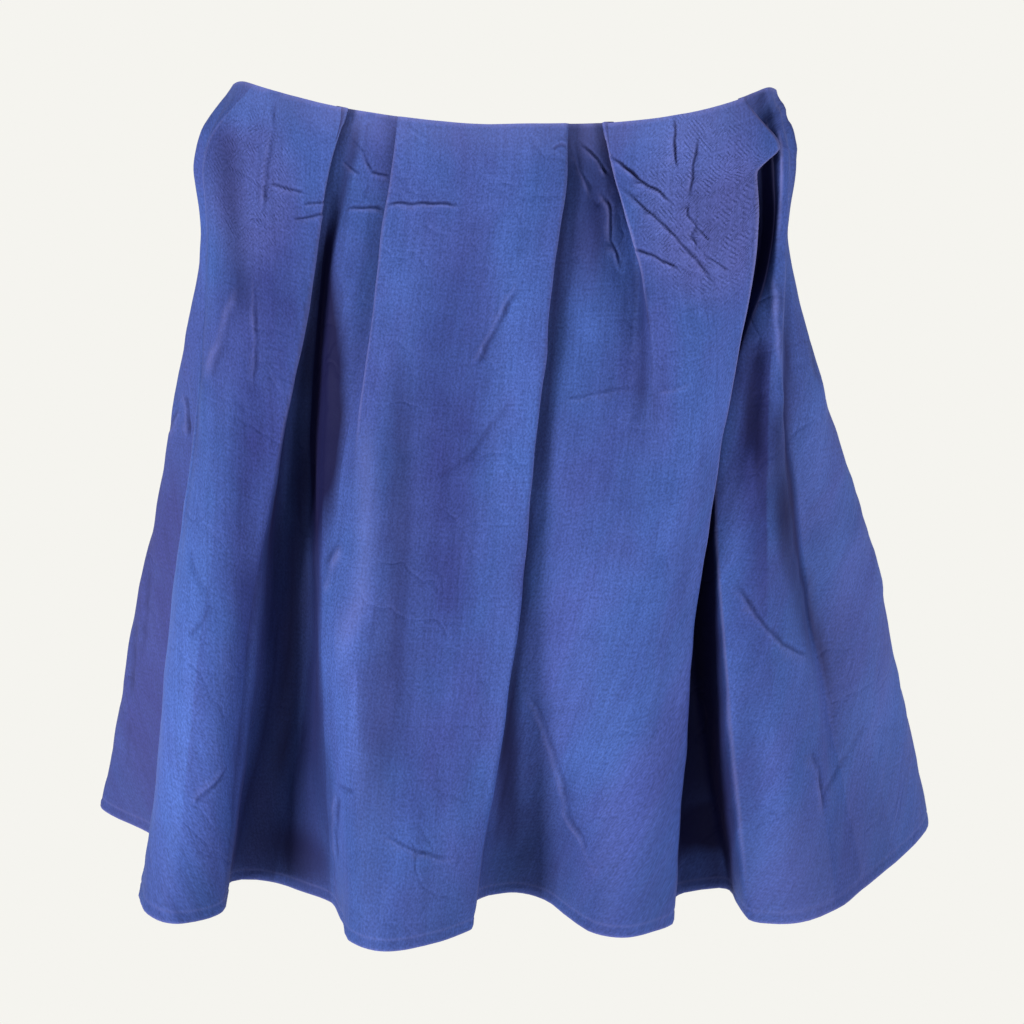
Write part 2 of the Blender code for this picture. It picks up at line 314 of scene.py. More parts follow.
# How far apart the columns are from each fold to the next, where not the
# usual: close where the cloth is creased, wide where it lies behind a panel.
RUN_STEPS = {
    "left seam": 8.0, "left wing": 5.0, "left release": 9.0, "first pleat inner": 5.0,
    "centre release": 9.0, "second pleat inner": 4.0, "second pleat bed": 4.0,
    "second pleat outer": 9.0, "right edge": 4.0, "right lobe": 4.0, "right release": 8.0,
    "third pleat inner": 7.0, "right wing": 7.0,
}
CURVE_STEPS = 8
FOLD_CROWDING = 0.62


def columns_between(first, last, usual_step):
    """The columns of a piece, as a fold and a share of the way to the next."""
    count = len(FOLDS)
    lines = fold_lines(np.array([0.12, 0.4, 0.7]))
    columns = []
    for index in range(first, last):
        here = index % count
        run = np.linalg.norm(lines[:, (index + 1) % count] - lines[:, here], axis=1).mean()
        step = RUN_STEPS.get(FOLDS[here].name, usual_step)
        pieces = max(4, round(run / step))
        columns.extend(Column(here, k / pieces) for k in range(pieces))
    columns.append(Column((last - 1) % count, 1.0))
    return columns


def half_arc(start, corner, end, shares):
    """Points of a rounded corner at shares of the way round it."""
    u = shares[:, None]
    return start * (1 - u) ** 2 + corner * 2 * u * (1 - u) + end * u * u


def ring_points(columns, drops):
    """Places of every column at every drop, in millimetres: (drop, column, 2)."""
    lines = fold_lines(drops)
    starts, ends = arc_ends(lines, drops)
    folds = np.array([column.fold for column in columns])
    shares = np.array([column.share for column in columns])
    shares = shares - FOLD_CROWDING * np.sin(2 * math.pi * shares) / (2 * math.pi)
    points = np.zeros((len(drops), len(columns), 2))
    out = np.linspace(0.5, 1.0, CURVE_STEPS)
    into = np.linspace(0.0, 0.5, CURVE_STEPS)
    for fold in np.unique(folds):
        after = (fold + 1) % len(FOLDS)
        chosen = np.flatnonzero(folds == fold)
        for i in range(len(drops)):
            path = np.concatenate([
                half_arc(starts[i, fold], lines[i, fold], ends[i, fold], out),
                half_arc(starts[i, after], lines[i, after], ends[i, after], into)])
            legs = np.linalg.norm(np.diff(path, axis=0), axis=1)
            walked = np.concatenate([[0.0], np.cumsum(legs)])
            places = shares[chosen] * walked[-1]
            points[i, chosen, 0] = np.interp(places, walked, path[:, 0])
            points[i, chosen, 1] = np.interp(places, walked, path[:, 1])
    for edge, inside in ((0, 1), (-1, -2)):
        inward = points[:, inside] - points[:, edge]
        inward /= np.linalg.norm(inward, axis=1)[:, None]
        points[:, edge] += inward * SEAM_GAP / 2
    return points


def waist_height(across, forward):
    """Height of the waist edge, in metres."""
    bow = np.where(across > 0, WAIST_BOW_RIGHT, WAIST_BOW_LEFT)
    behind = np.maximum(0.0, -forward * MM / WAIST_HALF_DEPTH)
    middle = mix(WAIST_FRONT_Z, WAIST_BACK_Z, smooth_step(behind))
    end = np.where(across > 0, WAIST_END_RIGHT, WAIST_END_LEFT)
    past = np.maximum(0.0, (np.abs(across * MM) - end) / WAIST_END_RUN)
    return (middle + WAIST_SIDE_RISE * np.abs(across * MM / WAIST_HALF_WIDTH) ** bow
            - WAIST_END_DROP * past * past)


def hem_height(across):
    """Height of the hem, in metres."""
    return HEM_Z + HEM_SIDE_RISE * np.abs(across * MM / HEM_HALF_WIDTH) ** 3


def cloth_surface(columns, drops):
    """The smooth cloth: (row, column, xyz) in metres."""
    ring = ring_points(columns, drops)
    top = waist_height(ring[0, :, 0], ring[0, :, 1])
    bottom = hem_height(ring[-1, :, 0])
    height = top[None, :] + (bottom - top)[None, :] * drops[:, None]
    return np.stack([ring[:, :, 0] * MM, -ring[:, :, 1] * MM, height], axis=2)


def outward(surface):
    """Unit normals of a grid of points, pointing out of the skirt."""
    down = np.gradient(surface, axis=0)
    across = np.gradient(surface, axis=1)
    normal = np.cross(down, across)
    size = np.linalg.norm(normal, axis=2)
    return normal / np.maximum(size, 1e-12)[:, :, None]


# Stretches of the cloth, each from one fold row to another.
RIGHT_PANEL = ("right edge", "right release")
LEFT_PANEL = ("left edge", "left release")
CENTRE_PANEL = ("centre edge", "centre release")
FIRST_UNDERLAY = ("first pleat bed", "first pleat outer")
LEFT_STRIP = ("left wing", "left tuck")
BACK_RIGHT_PANEL = ("right outer edge", "right inner edge")
BACK_LEFT_PANEL = ("left inner edge", "left outer edge")
BACK_CENTRE_LEFT = ("centre panel", "left inner edge")
BACK_CENTRE_RIGHT = ("right inner edge", "centre panel")
SECOND_PLEAT = ("second pleat inner", "second pleat outer")
SECOND_MOUTH = ("second pleat inner", "second pleat bed")
SIDE_EDGE = ("side edge", "side lobe")
SIDE_FRONT = ("side edge", "side swell")
SIDE_RIDGE = ("side edge", "side ridge")
SIDE_MIDDLE = ("side lobe", "side swell")
LEFT_INNER = ("left lobe", "left release")
LEFT_OUTER = ("left edge", "left lobe")
THIRD_PLEAT = ("third pleat inner", "side edge")
THIRD_TO_SIDE = ("third pleat inner", "side lobe")
FIRST_TO_CENTRE = ("first pleat swell", "centre edge")

# Creases pressed or crumpled into the cloth.  Each lies on one stretch of it,
# through points (across, height) in millimetres as seen from the front, has a
# half width and a depth in millimetres, and an amount of painted shade, with a
# painted highlight beside it.  A step is raised on the left of the way that its
# points run.
Crease = namedtuple("Crease", "kind stretch width depth shade points")
Valley, Ridge, Step, Line = (partial(Crease, kind) for kind in ("valley", "ridge", "step", "line"))

FRONT_CREASES = (
    # broad hollows and swells
    Valley(CENTRE_PANEL, 26, 5.5, 0.0,
        ((-36, -60), (-32, -130), (-34, -250), (-46, -360), (-58, -470), (-66, -560))),
    Ridge(CENTRE_PANEL, 16, 2.5, 0.0, ((14, -100), (8, -230), (-4, -330))),
    Valley(LEFT_PANEL, 16, 3.2, 0.0, ((-196, -150), (-196, -246), (-204, -330))),
    Valley(LEFT_PANEL, 13, 2.4, 0.6,
        ((-232, -4), (-227, -50), (-223, -85), (-216, -130), (-206, -180))),
    Step(LEFT_INNER, 14, 3.5, 0.0, ((-226, -560), (-218, -480), (-210, -400), (-203, -340))),
    # shade beside the edges that lie over the pleats
    Valley(SECOND_MOUTH, 8.0, 1.5, 0.9,
        ((48, -10), (46, -40), (42, -110), (34, -190), (22, -290), (16, -340))),
    Valley(SECOND_MOUTH, 4.6, 1.0, 1.0,
        ((22, -270), (15, -350), (9, -402), (2, -466), (-3, -518), (-7, -572), (-10, -620))),
    Valley(FIRST_UNDERLAY, 6.0, 1.0, 0.85,
        ((-120, 0), (-125, -37), (-131, -60), (-136, -84), (-142, -108), (-146, -130))),
    Valley(FIRST_UNDERLAY, 6.5, 1.0, 0.75,
        ((-152, -440), (-156, -500), (-159, -550), (-163, -600), (-167, -650))),
    Valley(("second pleat bed", "right lobe"), 6.0, 1.2, 0.6,
        ((98, -104), (102, -134), (104, -165), (105, -200), (104, -240), (102, -262))),
    Valley(("left lobe", "first pleat inner"), 13.0, 2.5, 0.3,
        ((-178, -290), (-188, -370), (-198, -450), (-207, -530), (-214, -620))),
    Valley(("first pleat inner", "first pleat swell"), 11.0, 1.0, 0.85,
        ((-138, -110), (-139, -147), (-139, -186), (-140, -233), (-147, -279), (-155, -329),
         (-164, -380))),
    Valley(("first pleat inner", "first pleat bed"), 9.0, 1.0, 0.95,
        ((-163, -220), (-168, -290), (-173, -349), (-176, -397), (-180, -462), (-185, -530),
         (-192, -600))),
    Step(("first pleat outer", "centre lobe"), 12.0, 2.4, 0.5,
        ((-131, -440), (-116, -410), (-104, -382), (-101, -340), (-101, -290), (-102, -230))),
    Valley(LEFT_OUTER, 5.0, 1.2, 0.3,
        ((-243, -60), (-247, -130), (-250, -210), (-256, -300), (-262, -380))),
    Valley(("first pleat swell", "first pleat outer"), 6.0, 3.4, 0.3,
        ((-96, -60), (-106, -130), (-120, -240), (-128, -300))),
    Ridge(FIRST_UNDERLAY, 8.0, 3.0, 0.0, ((-122, -70), (-131, -150), (-141, -240))),
    Valley(("second pleat bed", "second pleat outer"), 7.0, 3.0, 0.2,
        ((66, -45), (76, -95), (87, -140), (90, -190))),
    Ridge(SECOND_PLEAT, 12.0, 3.4, 0.0, ((60, -60), (70, -120), (76, -180), (70, -260))),
    Valley(RIGHT_PANEL, 20, 4.0, 0.0, ((132, -300), (122, -400), (112, -500))),
    Valley(RIGHT_PANEL, 9.0, 1.8, 0.0, ((105, -288), (86, -360))),
    Valley(SIDE_EDGE, 8.0, 5.5, 0.85, ((204, -180), (200, -215), (197, -250), (194, -285))),
    Ridge(SIDE_RIDGE, 6.0, 3.0, 0.0, ((220, -215), (216, -262), (210, -302))),
    Valley(SIDE_FRONT, 12.0, 3.0, 0.65,
        ((212, -200), (216, -260), (222, -310), (231, -360), (243, -410), (256, -470))),
    Valley(SIDE_MIDDLE, 4.6, 1.6, 1.0,
        ((230, -120), (230, -199), (229, -240), (229, -278), (232, -312), (238, -358),
         (249, -402), (260, -444), (268, -480), (273, -520))),
    Ridge(("side swell", "right seam"), 11.0, 2.4, 0.0, ((285, -338), (318, -418))),
    Valley(SIDE_MIDDLE, 10.0, 1.2, 0.0, ((262, -470), (272, -530), (280, -590))),
    # the stitched lower edge of the facing
    Line(CENTRE_PANEL, 1.6, 0.9, 0.9, ((-36, -79), (-70, -78), (-101, -79))),
    Line(("first pleat swell", "first pleat outer"), 1.6, 0.9, 0.8,
        ((-98, -83), (-112, -81), (-131, -82))),
    Line(LEFT_INNER, 1.6, 0.8, 0.6, ((-144, -86), (-158, -88), (-172, -91))),
    Line(LEFT_INNER, 1.5, 0.7, 0.6, ((-142, -76), (-152, -78), (-164, -79))),
    Line(LEFT_PANEL, 1.6, 0.7, 0.4, ((-160, -70), (-176, -66), (-190, -62))),
    # pressed dart lines from the waist
    Line(LEFT_PANEL, 1.7, 0.9, 0.5, ((-195, -90), (-192, -48), (-188, -21), (-187, 10))),
    Line(RIGHT_PANEL, 1.5, 1.1, 0.9, ((135, -54), (132, -29), (134, -9))),
    Line(RIGHT_PANEL, 1.5, 1.1, 0.9, ((144, -76), (147, -56), (150, -37), (155, -20))),
    Line(RIGHT_PANEL, 1.4, 0.8, 0.7,
        ((150, -116), (146, -104), (149, -96), (143, -88), (144, -76))),
    # left panel
    Ridge(LEFT_PANEL, 3.6, 1.6, 0.35, ((-216, -140), (-228, -176), (-243, -220))),
    Line(LEFT_INNER, 1.8, 0.8, 0.5, ((-200, -225), (-199, -180), (-201, -130))),
    Valley(LEFT_OUTER, 2.6, 1.2, 0.3, ((-252, -340), (-243, -368), (-226, -384))),
    Line(LEFT_PANEL, 2.2, 1.0, 0.4, ((-246, -542), (-236, -528), (-220, -512))),
    Valley(LEFT_PANEL, 2.4, 1.0, 0.3, ((-249, -413), (-241, -400), (-229, -382))),
    # centre panel
    Line(CENTRE_PANEL, 2.2, 1.6, 0.75, ((-26, -204), (-13, -180), (0, -157), (11, -137))),
    Valley(CENTRE_PANEL, 2.6, 0.9, 0.35, ((5, -226), (-14, -250), (-30, -271), (-61, -290))),
    Line(CENTRE_PANEL, 1.6, 1.0, 0.6, ((34, -36), (42, -32), (50, -34))),
    Valley(CENTRE_PANEL, 4.0, 1.0, 0.2, ((-55, -250), (-87, -277))),
    Line(("first pleat outer", "centre release"), 1.7, 0.7, 0.4,
        ((-36, -577), (-53, -574), (-81, -560), (-100, -549))),
    Valley(("first pleat swell", "centre lobe"), 2.2, 1.3, 0.5, ((-136, -525), (-119, -523))),
    Line(FIRST_TO_CENTRE, 2.0, 1.4, 0.6, ((-136, -598), (-135, -560), (-133, -527))),
    Ridge(FIRST_TO_CENTRE, 3.2, 1.3, 0.3, ((-146, -380), (-129, -338))),
    # right panel
    Line(RIGHT_PANEL, 1.7, 1.8, 1.0, ((134, -80), (109, -62), (93, -50), (77, -36))),
    Line(RIGHT_PANEL, 1.7, 1.2, 0.7,
        ((170, -150), (152, -126), (125, -96), (105, -78), (84, -60))),
    Line(RIGHT_PANEL, 1.7, 1.4, 0.8, ((136, -130), (116, -119), (97, -112))),
    Line(RIGHT_PANEL, 1.6, 0.7, 0.4, ((160, -108), (148, -97))),
    Line(RIGHT_PANEL, 1.6, 0.7, 0.4, ((176, -132), (152, -116))),
    Ridge(RIGHT_PANEL, 3.4, 2.2, 0.6, ((104, -132), (104, -177), (108, -230), (112, -262))),
    Ridge(RIGHT_PANEL, 2.0, 0.5, 0.2, ((118, -226), (146, -218))),
    # second pleat
    Line(SECOND_PLEAT, 1.7, 1.2, 0.6, ((68, -76), (58, -50), (50, -27))),
    Line(SECOND_PLEAT, 1.8, 1.6, 1.0, ((82, -58), (68, -40), (56, -27))),
    Line(("second pleat inner", "right edge"), 1.8, 1.4, 0.9,
        ((92, -132), (83, -107), (81, -80), (72, -64))),
    Valley(SECOND_PLEAT, 1.8, 1.2, 0.8, ((70, -82), (78, -74), (84, -66))),
    Line(("second pleat inner", "right edge"), 1.8, 0.5, 0.35,
        ((104, -220), (73, -226), (41, -231))),
    Step(("second pleat inner", "right lobe"), 2.6, 0.8, 0.4,
        ((76, -600), (61, -580), (47, -560), (41, -528), (29, -490), (11, -452))),
    # first pleat's underlay
    Line(FIRST_UNDERLAY, 1.5, 0.9, 0.6, ((-108, -56), (-116, -38), (-126, -24))),
    Valley(FIRST_UNDERLAY, 1.8, 1.1, 0.5, ((-111, -12), (-117, -38))),
    Line(FIRST_UNDERLAY, 1.5, 0.9, 0.6, ((-118, -56), (-126, -50), (-134, -43))),
    Line(FIRST_UNDERLAY, 1.6, 1.0, 0.6, ((-94, -57), (-102, -56), (-110, -53))),
    Valley(FIRST_UNDERLAY, 1.8, 0.9, 0.5, ((-111, -62), (-114, -76))),
    # right side
    Ridge(SIDE_FRONT, 3.0, 1.5, 0.4, ((214, -130), (216, -173), (220, -214))),
    Ridge(THIRD_PLEAT, 2.6, 1.2, 0.3, ((191, -208), (194, -240))),
    Ridge(THIRD_PLEAT, 2.6, 1.2, 0.3, ((188, -232), (182, -255))),
    Line(SIDE_RIDGE, 2.2, 1.1, 0.55,
        ((259, -445), (240, -437), (218, -424), (201, -403), (178, -370))),
    Line(SIDE_FRONT, 2.6, 1.7, 0.7, ((253, -560), (251, -544), (248, -526), (243, -508))),
    Valley(("side edge", "right wing"), 2.6, 0.9, 0.3, ((246, -547), (267, -537), (299, -502))),
    Valley(("side swell", "right wing"), 3.0, 1.2, 0.3, ((250, -190), (262, -232))),
    # left strip
    Line(LEFT_STRIP, 1.9, 1.3, 0.7, ((-268, -274), (-270, -236))),
    Line(LEFT_STRIP, 1.9, 1.1, 0.7, ((-278, -250), (-290, -276))),
    Valley(LEFT_STRIP, 2.4, 1.4, 0.5, ((-308, -382), (-310, -416), (-315, -470))),
    Valley(LEFT_STRIP, 2.6, 1.4, 0.5, ((-320, -430), (-327, -508))),
    Valley(LEFT_STRIP, 2.6, 1.2, 0.4, ((-328, -520), (-334, -572))),
)

BACK_CREASES = (
    Valley(BACK_CENTRE_RIGHT, 20, 3.0, 0.0, ((26, -70), (32, -190), (44, -330))),
    Valley(BACK_CENTRE_LEFT, 22, 3.4, 0.0, ((-30, -100), (-30, -230), (-44, -380))),
    Ridge(BACK_RIGHT_PANEL, 18, 2.6, 0.0, ((118, -80), (122, -220), (134, -380))),
    Valley(BACK_RIGHT_PANEL, 22, 4.0, 0.0, ((150, -220), (166, -360), (190, -520))),
    Valley(BACK_LEFT_PANEL, 22, 4.0, 0.0, ((-112, -160), (-120, -300), (-140, -470))),
    Ridge(BACK_LEFT_PANEL, 18, 2.4, 0.0, ((-138, -90), (-150, -230), (-172, -370))),
    Valley(("right seam", "right outer edge"), 20, 3.4, 0.0,
        ((222, -120), (236, -260), (268, -420))),
    Valley(("left outer edge", "left side panel"), 20, 3.4, 0.0,
        ((-226, -110), (-240, -250), (-270, -430))),
    # the stitched lower edge of the facing
    Line(BACK_CENTRE_RIGHT, 1.8, 0.9, 0.7, ((46, -82), (24, -80), (2, -81))),
    Line(BACK_CENTRE_LEFT, 1.8, 0.9, 0.7, ((-4, -81), (-28, -80), (-46, -82))),
    Line(BACK_RIGHT_PANEL, 1.8, 0.9, 0.6, ((146, -78), (118, -80), (94, -79))),
    Line(BACK_LEFT_PANEL, 1.8, 0.9, 0.6, ((-88, -80), (-112, -79), (-136, -78))),
    # creases that the cloth keeps from lying folded
    Line(BACK_RIGHT_PANEL, 2.0, 1.3, 0.6, ((152, -140), (134, -172), (118, -214))),
    Line(BACK_LEFT_PANEL, 2.0, 1.4, 0.6, ((-100, -120), (-118, -156), (-140, -184))),
    Line(BACK_CENTRE_RIGHT, 2.0, 1.2, 0.5, ((52, -230), (34, -262), (12, -284))),
    Valley(BACK_CENTRE_LEFT, 2.4, 1.1, 0.4, ((-8, -330), (-34, -352), (-58, -390))),
    Line(BACK_RIGHT_PANEL, 2.2, 1.1, 0.5, ((176, -420), (160, -470), (152, -530))),
    Line(BACK_LEFT_PANEL, 2.2, 1.2, 0.5, ((-186, -380), (-168, -430), (-160, -500))),
    Ridge(BACK_RIGHT_PANEL, 3.4, 1.3, 0.3, ((104, -300), (118, -350), (124, -410))),
    Line(BACK_CENTRE_LEFT, 2.0, 1.0, 0.5, ((-20, -560), (-44, -572), (-64, -560))),
    Line(("right seam", "right outer edge"), 2.2, 1.2, 0.5,
        ((262, -300), (250, -350), (254, -400))),
    Line(("left outer edge", "left side panel"), 2.2, 1.2, 0.5,
        ((-262, -270), (-252, -330), (-262, -380))),
)

# Profiles of a crease across itself, at signed distances in half widths: how
# it lifts the cloth, where it holds painted shade and where it is painted pale as a
# highlight on its raised side.
LIFTS = {
    "valley": lambda s: -np.exp(-s * s),
    "ridge": lambda s: np.exp(-s * s),
    "step": lambda s: 1.6 * s * np.exp(-s * s),
    "line": lambda s: 0.8 * np.exp(-(s - 1.1) ** 2) - np.exp(-(1.3 * s + 0.2) ** 2),
}
SHADES = {
    "valley": lambda s: np.exp(-(1.2 * s) ** 2),
    "ridge": lambda s: np.exp(-(1.3 * s - 1.7) ** 2),
    "step": lambda s: np.exp(-(1.5 * s + 1.0) ** 2),
    "line": lambda s: np.exp(-(1.3 * s + 0.2) ** 2),
}
PAINTED_HIGHLIGHTS = {
    "valley": lambda s: 0.0 * s,
    "ridge": lambda s: 0.8 * np.exp(-(1.4 * s) ** 2),
    "step": lambda s: 0.5 * np.exp(-(1.5 * s - 1.2) ** 2),
    "line": lambda s: 0.3 * np.exp(-(1.5 * s - 2.0) ** 2),
}
# The share of a crease over which its ends fade, how far a fine one wanders,
# and which ones are fine: the cloth's grid is split for those.
TAPER = 0.22
WANDER, WANDER_SIZE, WANDER_SEED = 0.6, 20.0, 7
UNEVEN, UNEVEN_SIZE, UNEVEN_SEED = 0.3, 24.0, 9
FINE_WIDTH = 4.5
FINE_REACH = 2.6
FINE_SPACING = 0.95
UNSPLIT = 99.0


def along_line(points, across, height):
    """Signed distance from a line, positive on its left, and share of the way."""
    nearest = np.full(across.shape, np.inf)
    signed = np.zeros(across.shape)
    share = np.zeros(across.shape)
    points = np.array(points, float)
    legs = np.linalg.norm(np.diff(points, axis=0), axis=1)
    walked = 0.0
    for start, end, leg in zip(points, points[1:], legs):
        run = (end - start) / leg
        t = np.clip((across - start[0]) * run[0] + (height - start[1]) * run[1], 0.0, leg)
        off_x = across - start[0] - run[0] * t
        off_z = height - start[1] - run[1] * t
        distance = np.hypot(off_x, off_z)
        closer = distance < nearest
        nearest = np.where(closer, distance, nearest)
        side = np.where(run[0] * off_z - run[1] * off_x < 0, -1.0, 1.0)
        signed = np.where(closer, distance * side, signed)
        share = np.where(closer, (walked + t) / legs.sum(), share)
        walked += leg
    return signed, share


def between_folds(fold_place, first, last):
    """Which points lie between two folds."""
    place = FOLD_NAMES.index
    return (fold_place >= place(first)) & (fold_place <= place(last))


def crease_values(across, height, fold_place, creases):
    """Lift in millimetres, painted shade and painted highlight of every point from the creases."""
    lift = np.zeros(across.shape)
    shade = np.zeros(across.shape)
    painted_highlight = np.zeros(across.shape)
    wander = WANDER * ripples(across, height, WANDER_SIZE, WANDER_SEED)
    uneven = 1.0 + UNEVEN * ripples(across, height, UNEVEN_SIZE, UNEVEN_SEED)
    for crease in creases:
        chosen = np.flatnonzero(between_folds(fold_place, *crease.stretch))
        signed, share = along_line(crease.points, across[chosen], height[chosen])
        ends = smooth_step(np.minimum(share, 1.0 - share) / TAPER)
        if crease.width < FINE_WIDTH:
            signed = signed + wander[chosen]
            ends = ends * uneven[chosen]
        s = signed / crease.width
        lift[chosen] += crease.depth * LIFTS[crease.kind](s) * ends
        shade[chosen] = np.maximum(shade[chosen], crease.shade * SHADES[crease.kind](s) * ends)
        painted_highlight[chosen] = np.maximum(painted_highlight[chosen], crease.shade * PAINTED_HIGHLIGHTS[crease.kind](s) * ends)
    return lift, shade, painted_highlight


def wanted_spacing(across, height, fold_place, creases):
    """How far apart points may lie, in millimetres, for the creases to show."""
    spacing = np.full(across.shape, UNSPLIT)
    for crease in creases:
        if crease.width >= FINE_WIDTH:
            continue
        chosen = np.flatnonzero(between_folds(fold_place, *crease.stretch))
        away = np.abs(along_line(crease.points, across[chosen], height[chosen])[0])
        need = np.where(away < crease.width * FINE_REACH, crease.width * FINE_SPACING, UNSPLIT)
        spacing[chosen] = np.minimum(spacing[chosen], need)
    return spacing


def ripples(across, down, size, seed, count=14):
    """Soft unevenness between about -1 and 1, in waves of about one size."""
    random = np.random.default_rng(seed)
    total = np.zeros_like(across)
    for _ in range(count):
        angle = random.uniform(0, 2 * math.pi)
        length = size * random.uniform(0.6, 1.6)
        phase = random.uniform(0, 2 * math.pi)
        along = across * math.cos(angle) + down * math.sin(angle)
        total += np.cos(along * 2 * math.pi / length + phase)
    return total / math.sqrt(count)


def row_drops(fine_rows, coarse_rows, fine_end, hem_rows, hem_start):
    """Rows down the cloth: close at the top, wider below, close at the hem."""
    top = np.linspace(0.0, fine_end, fine_rows, endpoint=False)
    body = np.linspace(fine_end, hem_start, coarse_rows, endpoint=False)
    hem = np.linspace(hem_start, 1.0, hem_rows)
    return np.concatenate([top, body, hem])


# The turned hem, in metres: its width, the step up to it, the stitched groove
# at its top and the puckers along it; and in millimetres how high each stands.
HEM_WIDTH = 0.0075
HEM_STEP, HEM_HEIGHT = 0.002, 0.25
HEM_GROOVE, HEM_GROOVE_DEPTH = 0.0014, 0.4
PUCKER_REACH, PUCKER_SIZE, PUCKER_HEIGHT = 0.006, 0.011, 0.35
PUCKER_SEED = 41


def hem_lift(width, above):
    """The turned hem: thicker, with a stitched groove and small puckers, in mm."""
    band = HEM_HEIGHT * smooth_step((HEM_WIDTH - above) / HEM_STEP)
    groove = -HEM_GROOVE_DEPTH * bell(above - HEM_WIDTH, HEM_GROOVE)
    pucker = bell(above - HEM_WIDTH * 0.8, PUCKER_REACH)
    waves = ripples(width, width * 0.0, PUCKER_SIZE, PUCKER_SEED, 6)
    return band + groove + PUCKER_HEIGHT * pucker * waves


# Pressed edges with a painted highlight: the fold, where it starts and ends down
# the cloth, and how pale it is.
EdgeLine = namedtuple("EdgeLine", "fold start end paleness")
EDGE_LINES = (
    EdgeLine("left release", 0.0, 0.50, 0.45),
    EdgeLine("centre edge", 0.02, 0.45, 0.55),
    EdgeLine("centre release", 0.0, 0.60, 0.35),
    EdgeLine("right edge", 0.0, 0.26, 0.90),
    EdgeLine("right release", 0.0, 0.62, 1.0),
    EdgeLine("side edge", 0.03, 0.34, 1.0),
    EdgeLine("side edge", 0.45, 1.0, 0.35),
    EdgeLine("side lobe", 0.05, 0.22, 0.9),
    EdgeLine("left edge", 0.0, 0.30, 0.25),
)
EDGE_WIDTH = 0.0010
EDGE_FADE_IN = 0.02
EDGE_FADE_OUT = 0.12


def edge_paleness(width, columns, width_grid, drops, down):
    """How pale each point is, from the painted highlight along the pressed edges."""
    pale = np.zeros(width.shape)
    rows = np.arange(len(drops))
    drop = np.interp(down, rows, drops)
    for line in EDGE_LINES:
        for j, column in enumerate(columns):
            if column.fold == FOLD_NAMES.index(line.fold) and column.share == 0.0:
                away = width - np.interp(down, rows, width_grid[:, j])
                along = (smooth_step((drop - line.start) / EDGE_FADE_IN)
                         * smooth_step((line.end - drop) / EDGE_FADE_OUT))
                pale = np.maximum(pale, line.paleness * bell(away, EDGE_WIDTH) * along)
    return pale


# Where the stiffened facing prints through; soft zones where the violet weft
# (amount below nought) or the blue warp shows more, partly the cloth's shot
# colour and partly painted shade and painted light; and painted shade deep in a
# pleat and beside it.
# Each lies on one stretch of the cloth and has its middle and half sizes in
# millimetres as seen from the front.
Zone = namedtuple("Zone", "stretch middle half amount")
FACED_ZONES = (
    Zone(RIGHT_PANEL, (158, -80), (60, 78), 1.0),
    Zone(LEFT_PANEL, (-208, -66), (42, 66), 0.6),
)
# Weft and warp zones: partly painted shade and painted light.
SHOT_AND_PAINTED_LIGHT_ZONES = (
    Zone(LEFT_PANEL, (-212, -2), (34, 26), 0.7),
    Zone(LEFT_PANEL, (-228, -50), (26, 60), -0.3),
    Zone(LEFT_PANEL, (-196, -190), (46, 110), -0.7),
    Zone(LEFT_PANEL, (-196, -330), (34, 130), -0.6),
    Zone(("left tuck", "left lobe"), (-256, -400), (30, 190), 0.5),
    Zone(LEFT_STRIP, (-310, -430), (80, 340), -0.8),
    Zone(FIRST_TO_CENTRE, (-110, -110), (40, 110), -0.3),
    Zone(("first pleat swell", "centre lobe"), (-112, -540), (34, 130), 0.15),
    Zone(CENTRE_PANEL, (-44, -230), (34, 190), -0.6),
    Zone(CENTRE_PANEL, (-58, -440), (50, 130), -0.35),
    Zone(CENTRE_PANEL, (10, -160), (26, 170), 0.35),
    Zone(RIGHT_PANEL, (150, -30), (60, 34), 0.35),
    Zone(("second pleat outer", "right release"), (108, -440), (44, 150), -0.1),
    Zone(("second pleat outer", "right release"), (104, -590), (60, 70), 0.2),
    Zone(("side edge", "right wing"), (252, -320), (40, 110), 0.3),
    Zone(("side swell", "right wing"), (345, -560), (50, 120), 0.3),
    Zone(SIDE_EDGE, (205, -390), (34, 90), -0.3),
    Zone(THIRD_TO_SIDE, (204, -270), (26, 110), -0.9),
)
SHADED_ZONES = (
    Zone(("first pleat inner", "first pleat swell"), (-190, -520), (120, 260), 0.3),
    Zone(FIRST_UNDERLAY, (-155, -560), (26, 150), 0.45),
    Zone(("first pleat inner", "first pleat bed"), (-185, -612), (44, 40), 0.4),
    Zone(("centre edge", "centre lobe"), (-85, -310), (15, 130), 0.65),
    Zone(("centre edge", "centre lobe"), (-96, -450), (26, 80), 0.55),
    Zone(("first pleat outer", "centre lobe"), (-106, -560), (26, 100), 0.35),
    Zone(SECOND_PLEAT, (68, -66), (34, 96), 0.8),
    Zone(THIRD_PLEAT, (175, -330), (140, 400), 0.5),
    Zone(SIDE_RIDGE, (206, -290), (20, 100), 0.3),
    Zone(("side swell", "right seam"), (230, -30), (24, 80), 0.3),
    Zone(LEFT_OUTER, (-262, -600), (46, 40), 0.15),
    Zone(SIDE_EDGE, (188, -540), (16, 110), 0.4),
)
